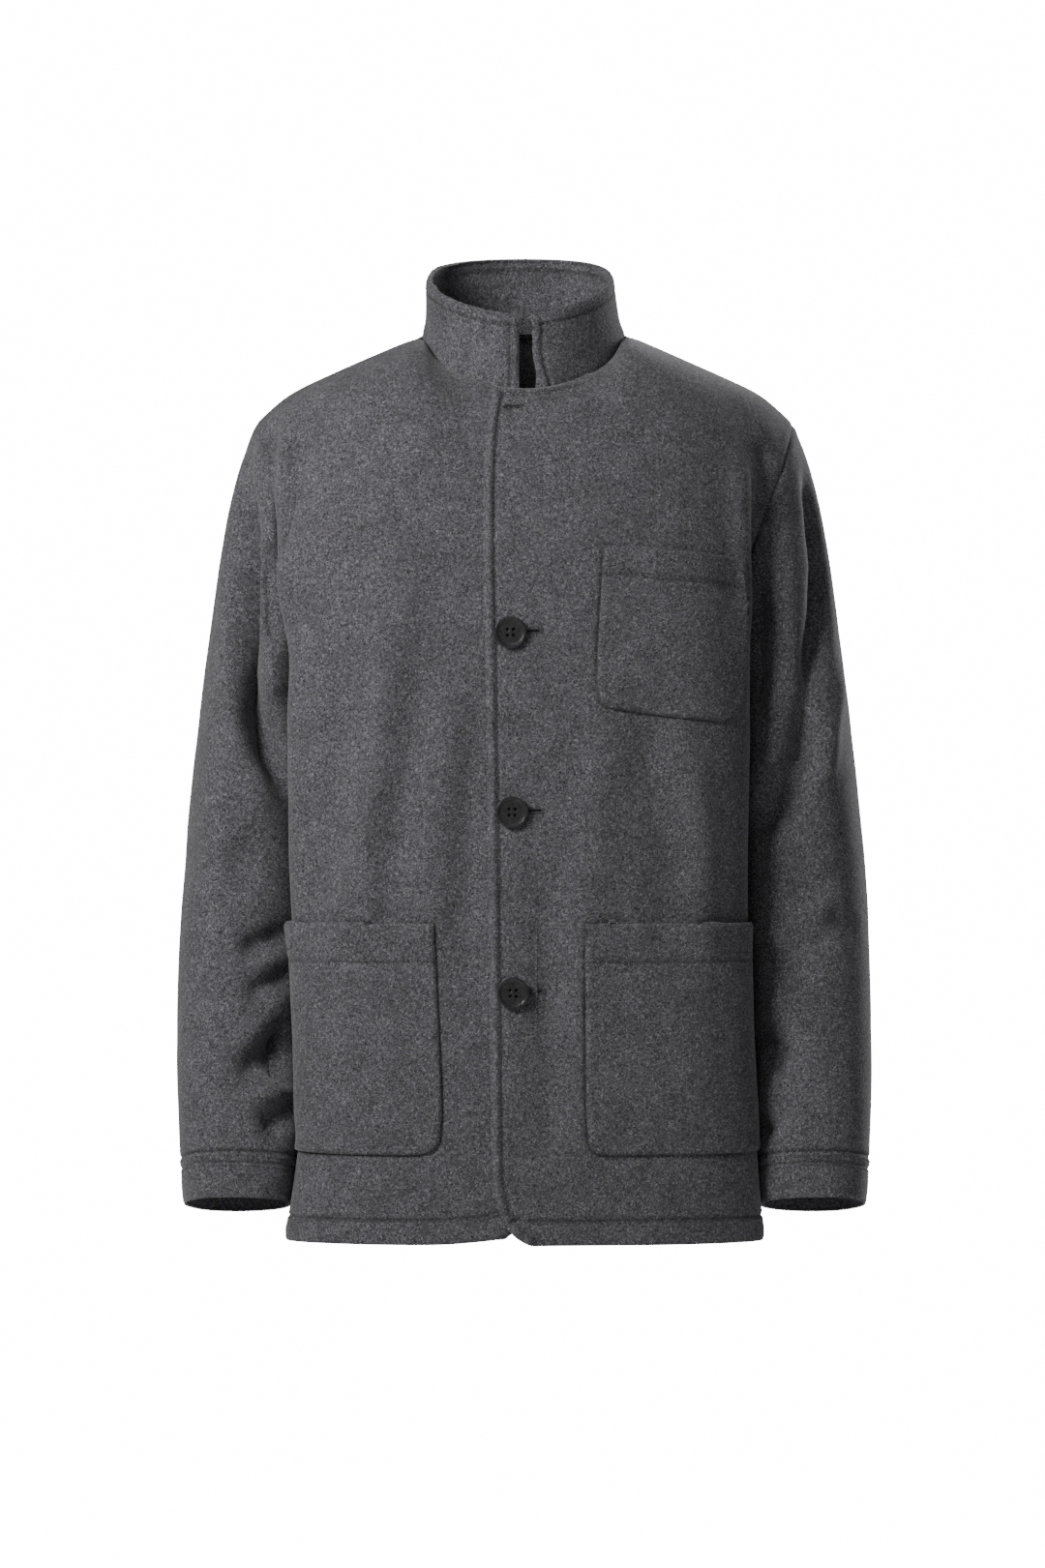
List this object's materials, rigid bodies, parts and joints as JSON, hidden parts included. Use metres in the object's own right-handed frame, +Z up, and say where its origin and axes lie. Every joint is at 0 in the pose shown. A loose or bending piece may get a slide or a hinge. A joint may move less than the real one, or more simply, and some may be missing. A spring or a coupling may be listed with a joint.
{
  "type": "stand collar jacket",
  "caption": "Hip-length wool melton jacket with a stand collar, a buttoned front lapped left over right, set-in sleeves and patch pockets, filled out as worn and hollow inside.",
  "frame": {"origin": "midway between the two neck points, where the shoulder seams meet the collar: the wearer's neck and shoulders hold the jacket there", "axes": "+Z up towards the collar, -Y the way the wearer faces, +X the wearer's left arm"},
  "size_m": [0.5564, 0.2674, 0.7926],
  "materials": {
    "melton": "felted charcoal heather wool, matte with a soft nap",
    "button": "near-black, dished face with a polished raised rim"
  },
  "bodies": {
    "root": {"front_left": "melton", "front_right": "melton", "back": "melton", "sleeve_left": "melton", "sleeve_right": "melton", "collar": "melton", "pocket_chest": "melton", "pocket_left": "melton", "pocket_right": "melton", "button_top": "button", "button_middle": "button", "button_bottom": "button"}
  },
  "joints": []
}
